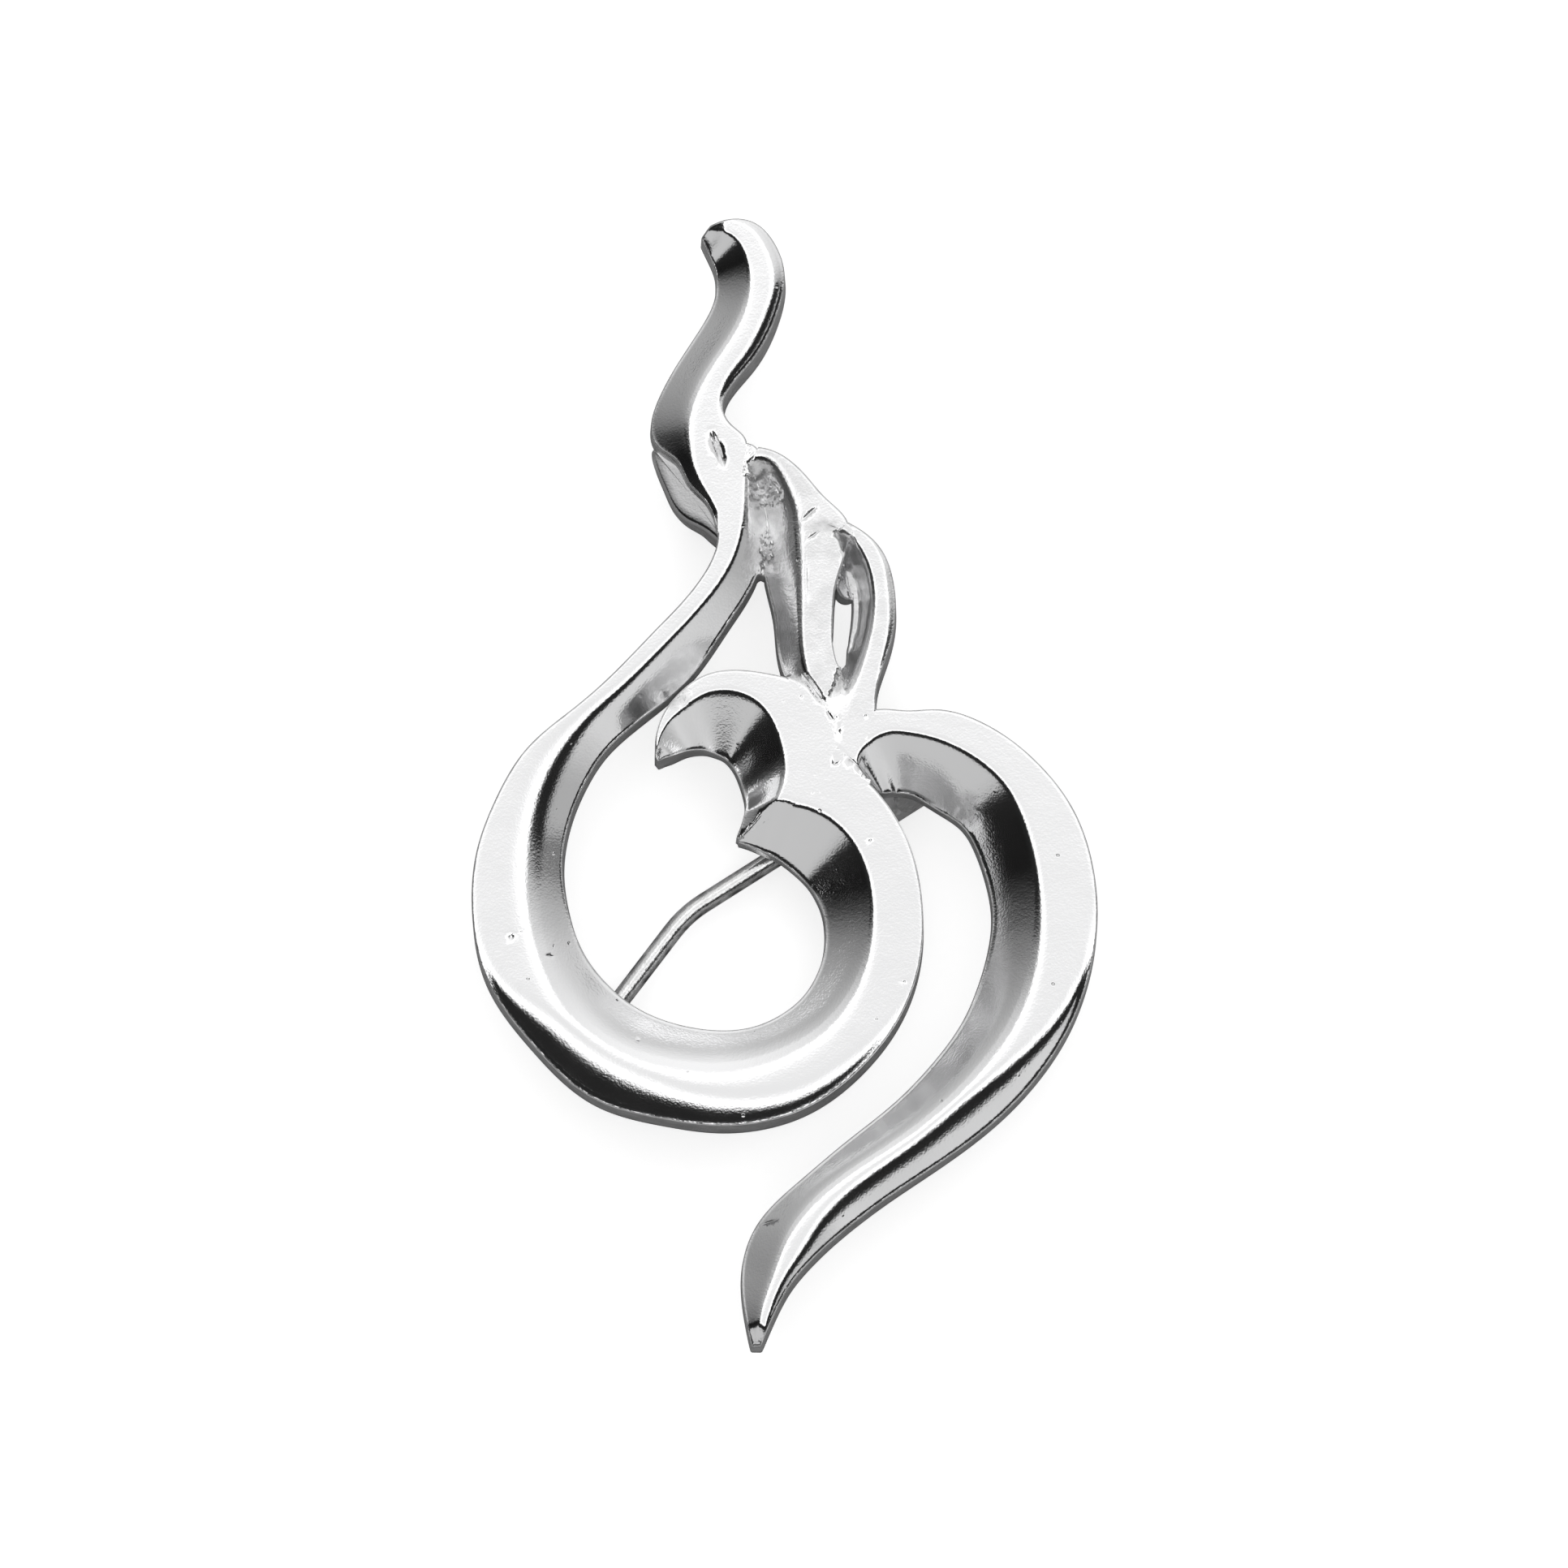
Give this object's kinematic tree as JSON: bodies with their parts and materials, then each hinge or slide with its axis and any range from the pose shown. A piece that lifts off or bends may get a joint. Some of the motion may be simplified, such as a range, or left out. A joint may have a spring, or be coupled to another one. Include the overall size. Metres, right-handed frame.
{
  "type": "lapel pin",
  "caption": "Cast silver scroll brooch: an open loop with clawed knot and long hooked tail, and a bent pin stem that swings on a riveted hinge into a hook catch.",
  "frame": {"origin": "middle of the brooch's width and height, on the surface it lies on", "axes": "+X across the brooch to the right as seen from the front, +Y towards the neck's tip, +Z out of the front"},
  "size_m": [0.0319, 0.0581, 0.0067],
  "materials": {
    "cast_silver": "bright polished sterling silver with fine scratches, small pits and rough cast recesses",
    "rivet_wire": "cut and filed silver wire",
    "stem_wire": "drawn hard wire, slightly scratched"
  },
  "bodies": {
    "root": {"scroll_body": "cast_silver", "hinge_rivet": "rivet_wire"},
    "pin": {"pin_stem": "stem_wire"}
  },
  "joints": [
    {"name": "pin_swing", "type": "hinge", "parent": "root", "child": "pin", "pos_m": [0.00579, 0.00058, 0.00179], "axis": [0.4411, -0.6903, 0.5736], "range_deg": [0, 80]}
  ]
}
